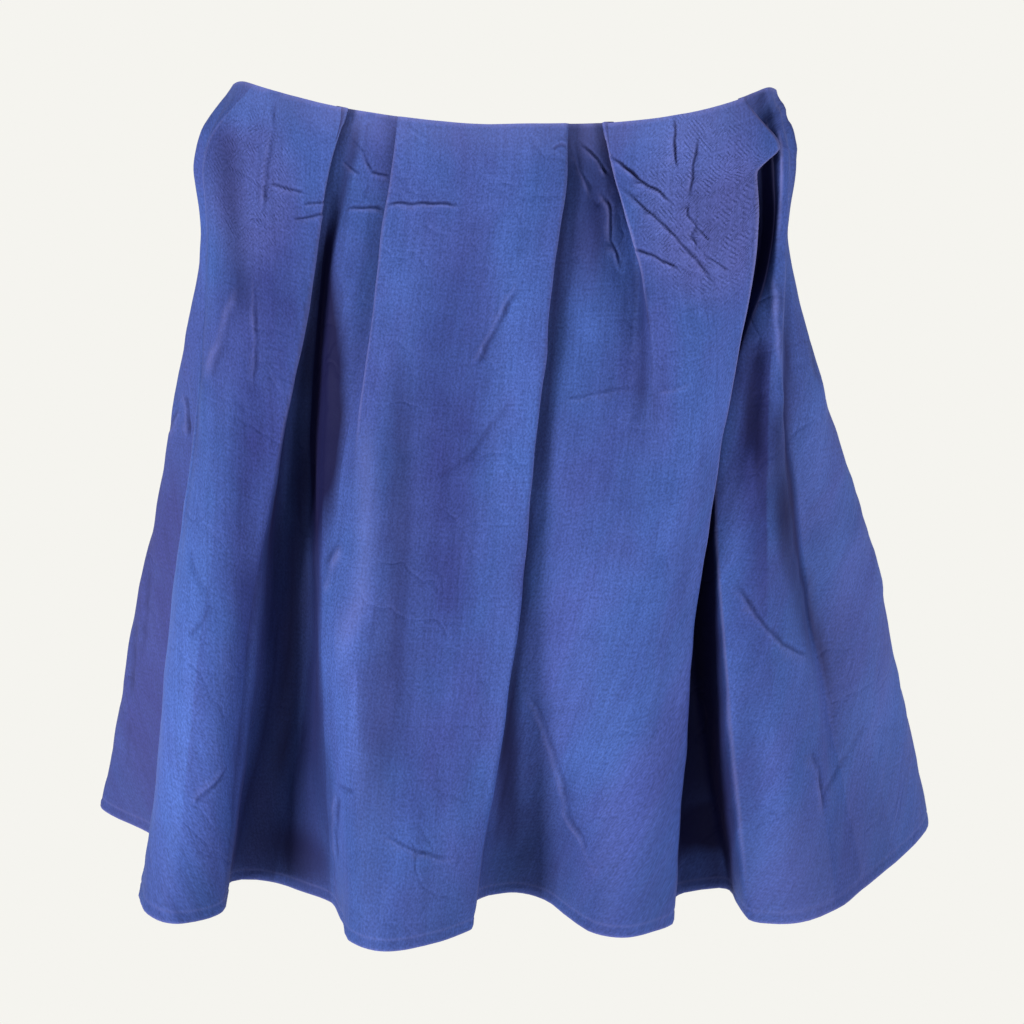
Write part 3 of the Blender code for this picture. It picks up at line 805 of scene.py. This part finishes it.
# Painted light and shade: zones that raise the openness that the rays give, to paint the cloth
# lighter, or lower it, to paint it darker.
PAINTED_OPENNESS_ZONES = (
    Zone(("left tuck", "left lobe"), (-252, -360), (34, 190), 0.2),
    Zone(("left release", "first pleat inner"), (-206, -500), (30, 150), 0.3),
    Zone(FIRST_UNDERLAY, (-144, -228), (19, 126), -0.8),
    Zone(("first pleat inner", "first pleat outer"), (-168, -606), (30, 30), -0.3),
    Zone(SECOND_MOUTH, (33, -370), (18, 170), 0.45),
    Zone(SECOND_MOUTH, (2, -515), (9, 90), -0.3),
    Zone(("second pleat bed", "right edge"), (98, -110), (20, 64), 0.3),
    Zone(THIRD_TO_SIDE, (206, 0), (18, 30), 0.5),
    Zone(SIDE_EDGE, (198, -258), (10, 50), -0.3),
    Zone(THIRD_TO_SIDE, (184, -275), (11, 40), 0.35),
    Zone(SIDE_FRONT, (216, -290), (24, 80), -0.45),
    Zone(SIDE_FRONT, (229, -352), (17, 62), -0.40),
    Zone(SIDE_MIDDLE, (248, -410), (13, 50), -0.30),
    Zone(SIDE_EDGE, (184, -440), (12, 170), 0.35),
    Zone(THIRD_PLEAT, (199, -165), (14, 44), 0.25),
    Zone(("third pleat inner", "third pleat bed"), (165, -616), (34, 20), 0.5),
    Zone(("right lobe", "right release"), (112, -600), (50, 60), 0.15),
)
# Places painted paler where the cloth turns away from the front: painted sheen.
PAINTED_SHEEN_ZONES = (
    Zone(("side dip", "right wing"), (290, -380), (90, 300), 0.13),
    Zone(LEFT_STRIP, (-310, -430), (80, 340), 0.14),
    Zone(SIDE_RIDGE, (230, -600), (50, 70), 0.12),
)


def zone_cover(fold_place, zone):
    """Which points a zone may reach; past the wings it fades towards the seams."""
    first, last = zone.stretch
    before = FOLD_NAMES.index(first) - fold_place
    after = fold_place - FOLD_NAMES.index(last)
    lead = smooth_step(1.0 - before) if first == "left wing" else before <= 0
    tail = smooth_step(1.0 - after) if last == "right wing" else after <= 0
    return lead * tail


def zone_amount(across, height, fold_place, zones, sharpness):
    """The amounts of the zones that each point lies in, soft at their edges."""
    total = np.zeros(across.shape)
    for zone in zones:
        chosen = zone_cover(fold_place, zone)
        away = np.hypot((across - zone.middle[0]) / zone.half[0],
                        (height - zone.middle[1]) / zone.half[1])
        total += zone.amount * smooth_step((1.2 - away) / sharpness) * chosen
    return total


# Rays that feel how open a place lies: one point in so many, how many rays, how
# far they reach and how far off the cloth they start, in metres.
OPEN_STRIDE = 3
OPEN_RAYS = 40
OPEN_REACH = 0.35
OPEN_START = 0.0015


def openness(surface, walls):
    """How open each point of a surface lies to the room: 0 deep in a pleat, 1 free."""
    turn = math.pi * (3.0 - math.sqrt(5.0))
    k = np.arange(OPEN_RAYS)
    radius = np.sqrt((k + 0.5) / OPEN_RAYS)
    rays = np.stack([radius * np.cos(turn * k), radius * np.sin(turn * k),
                     np.sqrt(1.0 - radius ** 2)], axis=1)
    normals = outward(surface)
    rows, columns = (np.unique(np.append(np.arange(0, count, OPEN_STRIDE), count - 1))
                     for count in surface.shape[:2])
    coarse = np.zeros((len(rows), len(columns)))
    for a, i in enumerate(rows):
        for b, j in enumerate(columns):
            normal = Vector(normals[i, j])
            side = normal.orthogonal().normalized()
            frame_rays = rays @ np.array([side, normal.cross(side), normal])
            start = Vector(surface[i, j]) + normal * OPEN_START
            free = sum(walls.ray_cast(start, ray, OPEN_REACH)[0] is None
                       for ray in frame_rays.tolist())
            coarse[a, b] = free / OPEN_RAYS
    middle = np.stack([np.interp(np.arange(surface.shape[1]), columns, line) for line in coarse])
    return np.stack([np.interp(np.arange(surface.shape[0]), rows, middle[:, j])
                     for j in range(surface.shape[1])], axis=1)


def wall_tree(surfaces):
    """The cloth's smooth surfaces as one tree for casting rays."""
    points, faces = [], []
    for surface in surfaces:
        coarse = surface[::4, ::2]
        rows, columns = coarse.shape[:2]
        first = len(points)
        points.extend(coarse.reshape(-1, 3).tolist())
        number = first + np.arange(rows * columns).reshape(rows, columns)
        faces.extend(np.stack([number[:-1, :-1], number[1:, :-1], number[1:, 1:], number[:-1, 1:]],
                              axis=2).reshape(-1, 4).tolist())
    return BVHTree.FromPolygons(points, faces)


def cloth_lengths(surface):
    """Distance along the cloth from its middle column, and down it, in metres."""
    along = np.linalg.norm(np.diff(surface, axis=1), axis=2)
    width = np.pad(np.cumsum(along, axis=1), ((0, 0), (1, 0)))
    width -= width[:, surface.shape[1] // 2][:, None]
    fall = np.linalg.norm(np.diff(surface, axis=0), axis=2)
    return width, np.pad(np.cumsum(fall, axis=0), ((1, 0), (0, 0)))


def read_grid(values, across, down):
    """Read a grid (row, column, ...) at fractional columns and rows."""
    i = np.clip(down.astype(int), 0, values.shape[0] - 2)
    j = np.clip(across.astype(int), 0, values.shape[1] - 2)
    s, t = down - i, across - j
    if values.ndim == 3:
        s, t = s[:, None], t[:, None]
    upper = values[i, j] * (1 - t) + values[i, j + 1] * t
    lower = values[i + 1, j] * (1 - t) + values[i + 1, j + 1] * t
    return upper * (1 - s) + lower * s


REFINEMENTS = 3


def fine_grid(surface, fold_places, creases):
    """A flat grid, split finer where a crease needs it, and its points' places."""
    rows, columns = surface.shape[:2]
    shape = bmesh.new()
    bmesh.ops.create_grid(shape, x_segments=columns - 1, y_segments=rows - 1, size=1.0)
    for _ in range(REFINEMENTS):
        ends = np.array([[edge.verts[0].co[:2], edge.verts[1].co[:2]] for edge in shape.edges])
        across = (ends[:, :, 0] + 1) / 2 * (columns - 1)
        down = (1 - ends[:, :, 1]) / 2 * (rows - 1)
        first = read_grid(surface, across[:, 0], down[:, 0])
        last = read_grid(surface, across[:, 1], down[:, 1])
        middle = (first + last) / 2 / MM
        fold_place = np.interp(across.mean(axis=1), np.arange(columns), fold_places)
        wanted = wanted_spacing(middle[:, 0], middle[:, 2], fold_place, creases)
        long = np.linalg.norm(last - first, axis=1) / MM > wanted
        chosen = [edge for edge, split in zip(shape.edges, long) if split]
        bmesh.ops.subdivide_edges(shape, edges=chosen, cuts=1, use_grid_fill=True,
                                  use_single_edge=True)
    for edge in shape.edges:
        edge.smooth = not edge.is_boundary
    places = np.array([vertex.co[:2] for vertex in shape.verts])
    return shape, (places[:, 0] + 1) / 2 * (columns - 1), (1 - places[:, 1]) / 2 * (rows - 1)


def grid_piece(name, shape, points, width, length, values, material):
    """A cloth piece from a flat grid whose points are moved to their places."""
    mesh = bpy.data.meshes.new(name)
    shape.to_mesh(mesh)
    shape.free()
    mesh.vertices.foreach_set("co", points.ravel())
    corner = np.empty(len(mesh.loops), dtype=np.int32)
    mesh.loops.foreach_get("vertex_index", corner)
    cloth = mesh.uv_layers.new(name="cloth")
    cloth.uv.foreach_set("vector", np.stack([width, length], axis=1)[corner].ravel())
    for key, value in values.items():
        attribute = mesh.attributes.new(key, "FLOAT", "POINT")
        attribute.data.foreach_set("value", value)
    mesh.shade_smooth()
    mesh.materials.append(material)
    mesh.update()
    piece = bpy.data.objects.new(name, mesh)
    bpy.context.scene.collection.objects.link(piece)
    return piece


def srgb(text):
    """Linear colour from an sRGB hex string."""
    values = [int(text[i:i + 2], 16) / 255.0 for i in (1, 3, 5)]
    linear = [v / 12.92 if v <= 0.04045 else ((v + 0.055) / 1.055) ** 2.4 for v in values]
    return (*linear, 1.0)


def add_node(tree, kind, settings=None, **links):
    """Add a node; links gives each input a value or another node's output."""
    node = tree.nodes.new(kind)
    for key, value in (settings or {}).items():
        setattr(node, key, value)
    for key, value in links.items():
        socket = node.inputs[int(key[1:]) if key[1:].isdigit() else key.replace("_", " ")]
        if isinstance(value, bpy.types.NodeSocket):
            tree.links.new(value, socket)
        else:
            socket.default_value = value
    return node


# The cloth's colours: its two grounds; where the violet weft or the blue warp
# shows more, partly painted shade and painted light; the faced part; painted shade
# deep in a pleat and in a crease; the pale of painted highlights and sheen, also
# used for the stitching and cut edges; and the tint of the shader's sheen.
BLUE_GROUND, VIOLET_GROUND = "#334987", "#3A4584"
VIOLET_WEFT_AND_PAINTED_SHADE, BLUE_WARP_AND_PAINTED_LIGHT = "#282E67", "#3F5BA2"
FACED_GREY = "#5C5A96"
DEEP_SHADE, CREASE_SHADE = "#12133A", "#12143C"
PALE_AND_HIGHLIGHT, SHEEN = "#7C7CB8", "#9A86D8"


def shot_cloth():
    """Shot cotton and silk, plain woven: blue warp, violet weft, a faint sheen.

    The eye gets a blue that turns violet in soft clouds, with fine slubs both
    ways, soft crumples, and the facing's hatched print near the waist.  Sizes are
    in millimetres of cloth.  Real threads lie about 0.2 mm apart, too fine to
    show, so they are drawn 1 to 3 mm apart.
    """
    material = bpy.data.materials.new("shot_cotton_silk")
    material.use_nodes = True
    tree = material.node_tree
    shader = tree.nodes["Principled BSDF"]
    cloth = add_node(tree, "ShaderNodeUVMap", {"uv_map": "cloth"}).outputs["UV"]

    def noise(across, down, detail, dimensions="2D"):
        """Soft noise in spots of a size across and down the cloth."""
        place = add_node(tree, "ShaderNodeMapping", Vector=cloth,
                         Scale=(1 / (across * MM), 1 / (down * MM), 1.0)).outputs["Vector"]
        return add_node(tree, "ShaderNodeTexNoise", {"noise_dimensions": dimensions},
                        Vector=place, Scale=1.0, Detail=detail).outputs["Fac"]

    def ranged(value, low, high, to_low=0.0, to_high=1.0):
        return add_node(tree, "ShaderNodeMapRange", Value=value, From_Min=low, From_Max=high,
                        To_Min=to_low, To_Max=to_high).outputs["Result"]

    def combined(operation, *values):
        return add_node(tree, "ShaderNodeMath", {"operation": operation},
                        **{f"_{i}": value for i, value in enumerate(values)}).outputs[0]

    def scaled(vector, by):
        return add_node(tree, "ShaderNodeVectorMath", {"operation": "SCALE"},
                        _0=vector, Scale=by).outputs["Vector"]

    def mixed(share, first, second):
        return add_node(tree, "ShaderNodeMix", {"data_type": "RGBA"},
                        _0=share, _6=first, _7=second).outputs[2]

    def attribute(name):
        return add_node(tree, "ShaderNodeAttribute", {"attribute_name": name}).outputs["Fac"]

    def raised(height, strength, distance, under=None):
        links = {"Height": height, "Strength": strength, "Distance": distance}
        if under is not None:
            links["Normal"] = under
        return add_node(tree, "ShaderNodeBump", **links).outputs["Normal"]

    # Grounds in soft patches, with clouds and blotches of more warp or weft; the
    # placed weft and warp zones added here are partly painted shade and painted light.
    clouds = ranged(noise(90.9, 166.7, 3.0, "3D"), 0.35, 0.65, -0.25, 0.25)
    blotches = ranged(noise(16.67, 29.41, 3.0, "3D"), 0.3, 0.7, -0.10, 0.10)
    shot = combined("ADD", attribute("shot"), combined("ADD", clouds, blotches))
    grounds = ranged(noise(58.82, 125.0, 2.0, "3D"), 0.38, 0.62, 0.0, 0.7)
    base = mixed(grounds, srgb(BLUE_GROUND), srgb(VIOLET_GROUND))
    base = mixed(ranged(shot, 0.0, -1.0), base, srgb(VIOLET_WEFT_AND_PAINTED_SHADE))
    base = mixed(ranged(shot, 0.0, 1.0), base, srgb(BLUE_WARP_AND_PAINTED_LIGHT))
    base = mixed(combined("MULTIPLY", attribute("faced"), 0.3), base, srgb(FACED_GREY))
    # Slubs along the warp and the weft, and the grain of the threads.
    warp = ranged(noise(3.03, 62.5, 3.0), 0.3, 0.7, 0.92, 1.08)
    weft = ranged(noise(62.5, 2.174, 3.0), 0.3, 0.7, 0.96, 1.04)
    thread = ranged(noise(1.5625, 2.174, 2.0), 0.25, 0.75, 0.74, 1.26)
    base = scaled(base, combined("MULTIPLY", combined("MULTIPLY", warp, weft), thread))
    # Painted shade in the pleats and creases; painted highlight on edges and ridges
    # and painted sheen on turned sides, paler, with the pale stitching and cut edges.
    base = mixed(ranged(attribute("open_air"), 0.22, 0.72, 1.0, 0.0), base, srgb(DEEP_SHADE))
    base = mixed(combined("MULTIPLY", attribute("shade"), 0.82), base, srgb(CREASE_SHADE))
    base = mixed(combined("MULTIPLY", attribute("edge"), 0.5), base, srgb(PALE_AND_HIGHLIGHT))
    tree.links.new(base, shader.inputs["Base Color"])
    # Matte cotton with a little silk: rough, a low gloss and a thin violet sheen.
    shader.inputs["Roughness"].default_value = 0.72
    shader.inputs["Specular IOR Level"].default_value = 0.12
    shader.inputs["Sheen Weight"].default_value = 0.10
    shader.inputs["Sheen Roughness"].default_value = 0.3
    shader.inputs["Sheen Tint"].default_value = srgb(SHEEN)

    # Raised threads, then soft rumples about 18 by 33 mm.
    relief = raised(noise(1.111, 1.667, 2.0), 0.35, 0.0004)
    relief = raised(noise(18.18, 33.33, 4.0), 0.6, 0.0018, relief)
    # Fine crumpled creases round facets of about 48 mm, in places.
    bend = add_node(tree, "ShaderNodeTexNoise", {"noise_dimensions": "2D"}, Vector=cloth,
                    Scale=26.0, Detail=2.0).outputs["Color"]
    bent = add_node(tree, "ShaderNodeVectorMath", {"operation": "ADD"},
                    _0=cloth, _1=scaled(bend, 0.05)).outputs["Vector"]
    facets = add_node(tree, "ShaderNodeTexVoronoi",
                      {"feature": "DISTANCE_TO_EDGE", "voronoi_dimensions": "2D"},
                      Vector=bent, Scale=21.0).outputs["Distance"]
    crumpled = ranged(noise(76.92, 111.1, 1.0), 0.42, 0.62)
    relief = raised(combined("MULTIPLY", ranged(facets, 0.0, 0.10), crumpled), 0.5, 0.0009, relief)
    # The facing's print: rows about 3 mm apart, slanting one way or the other.
    rows = []
    for slant in (38.0, -42.0):
        turned = add_node(tree, "ShaderNodeMapping", Vector=cloth,
                          Rotation=(0.0, 0.0, math.radians(slant))).outputs["Vector"]
        rows.append(add_node(tree, "ShaderNodeTexWave", {"bands_direction": "X"},
                             Vector=turned, Scale=115.0, Distortion=2.5, Detail=2.0,
                             Detail_Scale=3.0).outputs["Fac"])
    patches = ranged(noise(17.24, 17.24, 1.0), 0.44, 0.56)
    hatch = add_node(tree, "ShaderNodeMix", {"data_type": "FLOAT"},
                     _0=patches, _2=rows[0], _3=rows[1]).outputs[0]
    broken = ranged(noise(8.333, 8.333, 1.0), 0.35, 0.6)
    printed = combined("MULTIPLY", combined("MULTIPLY", hatch, attribute("faced")), broken)
    relief = raised(printed, 0.75, 0.0007, relief)
    tree.links.new(relief, shader.inputs["Normal"])
    return material


def soft_box(name, place, aim, size, power, color):
    """A square soft light that shines from one place towards another."""
    data = bpy.data.lights.new(name, "AREA")
    data.size = size
    data.energy = power
    data.color = color
    light = bpy.data.objects.new(name, data)
    light.location = place
    light.rotation_euler = (Vector(aim) - light.location).to_track_quat("-Z", "Y").to_euler()
    light.visible_camera = False
    bpy.context.scene.collection.objects.link(light)


# The studio, in metres: its floor, the sweep up to its wall, and the wall's top.
FLOOR_Z, FLOOR_RADIUS, SWEEP_RADIUS, WALL_TOP = -1.05, 3.2, 1.3, 1.7
SWEEP_STEPS = 12
# The camera that the photo was taken with: its place, tilt down and lens.
CAMERA_PLACE = (0.003, -1.634, -0.04)
CAMERA_TILT = 10.452
CAMERA_LENS = 68.15


def studio():
    """A pale round cove all about the skirt, soft lights and the camera."""
    profile = [(0.0, FLOOR_Z), (FLOOR_RADIUS, FLOOR_Z)]
    for step in range(1, SWEEP_STEPS + 1):
        turn = step / SWEEP_STEPS * math.pi / 2
        profile.append((FLOOR_RADIUS + SWEEP_RADIUS * math.sin(turn),
                        FLOOR_Z + SWEEP_RADIUS * (1 - math.cos(turn))))
    profile.append((FLOOR_RADIUS + SWEEP_RADIUS, WALL_TOP))
    shape = bmesh.new()
    points = [shape.verts.new((x, 0, z)) for x, z in profile]
    edges = [shape.edges.new(pair) for pair in zip(points, points[1:])]
    bmesh.ops.spin(shape, geom=points + edges, axis=(0, 0, 1), cent=(0, 0, 0),
                   angle=2 * math.pi, steps=96, use_merge=True)
    bmesh.ops.remove_doubles(shape, verts=shape.verts, dist=0.0005)
    mesh = bpy.data.meshes.new("studio_floor")
    shape.to_mesh(mesh)
    shape.free()
    mesh.shade_smooth()
    # A white backdrop lit evenly: it shows as its own pale colour, unshaded.
    pale = bpy.data.materials.new("lit_white_backdrop")
    pale.use_nodes = True
    shader = pale.node_tree.nodes["Principled BSDF"]
    shader.inputs["Base Color"].default_value = (0, 0, 0, 1)
    shader.inputs["Specular IOR Level"].default_value = 0.0
    shader.inputs["Emission Color"].default_value = srgb("#F5F4EF")
    shader.inputs["Emission Strength"].default_value = 1.0
    mesh.materials.append(pale)
    floor = bpy.data.objects.new("studio_floor", mesh)
    bpy.context.scene.collection.objects.link(floor)
    camera_data = bpy.data.cameras.new("camera")
    camera_data.lens = CAMERA_LENS
    camera = bpy.data.objects.new("camera", camera_data)
    camera.location = CAMERA_PLACE
    camera.rotation_euler = (math.radians(90 - CAMERA_TILT), 0, 0)
    bpy.context.scene.collection.objects.link(camera)
    bpy.context.scene.camera = camera
    world = bpy.data.worlds.new("studio")
    world.use_nodes = True
    world.node_tree.nodes["Background"].inputs["Color"].default_value = (1, 1, 1, 1)
    world.node_tree.nodes["Background"].inputs["Strength"].default_value = 0.12
    bpy.context.scene.world = world
    soft_box("key", (-1.65, -1.70, -0.60), (0.0, -0.1, -0.42), 0.6, 66, (1.0, 0.99, 0.97))
    soft_box("fill", (1.45, -1.40, -0.50), (0.1, -0.1, -0.42), 0.7, 25, (0.97, 0.98, 1.0))
    soft_box("back", (0.35, 2.10, -0.15), (0.0, 0.1, -0.40), 0.8, 42, (1.0, 0.99, 0.97))
    bpy.context.scene.view_settings.view_transform = "Standard"


# Each cut piece: the fold rows it runs between, its rows, its usual column step
# in millimetres, its creases, the seed of its unevenness, and its flat width and
# length and its area as cut, in metres.
Piece = namedtuple("Piece", "name first last rows step creases seed flat area")
FRONT_ROWS = row_drops(fine_rows=48, coarse_rows=66, fine_end=0.31, hem_rows=10, hem_start=0.975)
BACK_ROWS = row_drops(fine_rows=40, coarse_rows=64, fine_end=0.31, hem_rows=8, hem_start=0.975)
RIGHT_SIDE = FOLD_NAMES.index("right seam")
CENTRE_BACK = FOLD_NAMES.index("centre panel")
PIECES = (
    Piece("front", 0, RIGHT_SIDE, FRONT_ROWS, 4.4, FRONT_CREASES, 3, (1.48, 0.69), 0.65),
    Piece("back_right", RIGHT_SIDE, CENTRE_BACK, BACK_ROWS, 5.0, BACK_CREASES, 5,
          (0.72, 0.65), 0.31),
    Piece("back_left", CENTRE_BACK, len(FOLDS), BACK_ROWS, 5.0, BACK_CREASES, 8,
          (0.70, 0.65), 0.31),
)

# Soft unevenness all over the cloth: its height in millimetres, how far its
# waves are drawn out down the cloth, their size in metres and their seed.
Wave = namedtuple("Wave", "height draw size seed")
WAVES = (Wave(1.1, 0.4, 0.12, 40), Wave(0.6, 0.45, 0.05, 0), Wave(0.22, 0.6, 0.022, 20))

# Pale cut edges and the lighter band at the waist, in metres, with how pale.
RIM_WIDTH, RIM_PALE = 0.0010, 0.5
WAIST_BAND, WAIST_PALE = 0.024, 0.28
# The hem's stitching: its pale row and its dark groove; and the painted shade that darkens the
# cloth towards the hem.
STITCH_WIDTH, STITCH_PALE, STITCH_RISE = 0.0009, 0.18, 0.001
GROOVE_WIDTH, GROOVE_SHADE = 0.0010, 0.3
HEM_REACH, HEM_SHADE = 0.11, 0.3
# The seam's dark line: its half width in columns, and how dark.
SEAM_LINE, SEAM_SHADE = 0.3, 0.5
ZONE_FADE = 0.9
FACED_FADE = 0.6


def cloth_piece(cut, columns, surface, walls, material):
    """One cut piece: a thin shell on its solid's form, creased and shaded."""
    width_grid, length_grid = cloth_lengths(surface)
    fold_places = np.array([column.fold + column.share for column in columns])
    shape, across, down = fine_grid(surface, fold_places, cut.creases)
    smooth = read_grid(surface, across, down)
    normal = read_grid(outward(surface), across, down)
    normal /= np.linalg.norm(normal, axis=1)[:, None]
    width = read_grid(width_grid, across, down)
    length = read_grid(length_grid, across, down)
    above = read_grid(length_grid[-1][None, :] - length_grid, across, down)
    from_seam = np.minimum(across, len(columns) - 1 - across)
    fold_place = np.interp(across, np.arange(len(columns)), fold_places)
    place = (smooth[:, 0] / MM, smooth[:, 2] / MM, fold_place)

    lift, shade, painted_highlight = crease_values(*place, cut.creases)
    for wave in WAVES:
        lift += wave.height * ripples(width, length * wave.draw, wave.size, cut.seed + wave.seed)
    lift += hem_lift(width, above)
    lift *= smooth_step(from_seam / SEAM_CALM)
    lift += CAD_HALF_WALL

    rim = RIM_PALE * bell(length, RIM_WIDTH) + RIM_PALE * bell(above, RIM_WIDTH)
    rim += WAIST_PALE * bell(length, WAIST_BAND)
    pale = np.maximum.reduce([
        edge_paleness(width, columns, width_grid, cut.rows, down), painted_highlight, rim,
        STITCH_PALE * bell(above - HEM_WIDTH - STITCH_RISE, STITCH_WIDTH)])
    dark = np.maximum.reduce([
        shade, GROOVE_SHADE * bell(above - HEM_WIDTH, GROOVE_WIDTH),
        SEAM_SHADE * bell(from_seam, SEAM_LINE),
        HEM_SHADE * smooth_step(1.0 - above / HEM_REACH),
        zone_amount(*place, SHADED_ZONES, ZONE_FADE)])
    open_air = read_grid(openness(surface, walls), across, down)
    # Painted light for the material: the shade, and low openness, are painted shade; the paleness
    # is painted highlight and sheen, with the stitching and cut edges; the weft and warp zones are
    # partly painted shade and painted light.
    values = {
        "open_air": open_air + zone_amount(*place, PAINTED_OPENNESS_ZONES, ZONE_FADE),
        "edge": pale + zone_amount(*place, PAINTED_SHEEN_ZONES, ZONE_FADE),
        "shade": dark,
        "shot": zone_amount(*place, SHOT_AND_PAINTED_LIGHT_ZONES, ZONE_FADE),
        "faced": zone_amount(*place, FACED_ZONES, FACED_FADE),
    }
    points = smooth + normal * lift[:, None] * MM
    piece = grid_piece(f"{cut.name}_cloth", shape, points, width, length, values, material)
    wall = piece.modifiers.new("cloth thickness", "SOLIDIFY")
    wall.thickness = CLOTH_THICKNESS
    wall.offset = -1.0
    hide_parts(cut.name)
    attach(piece, "root")


def main():
    """The studio, then every cut piece."""
    studio()
    material = shot_cloth()
    laid = []
    for cut in PIECES:
        columns = columns_between(cut.first, cut.last, cut.step)
        laid.append((cut, columns, cloth_surface(columns, cut.rows)))
    walls = wall_tree([surface for _, _, surface in laid])
    for cut, columns, surface in laid:
        cloth_piece(cut, columns, surface, walls, material)


main()
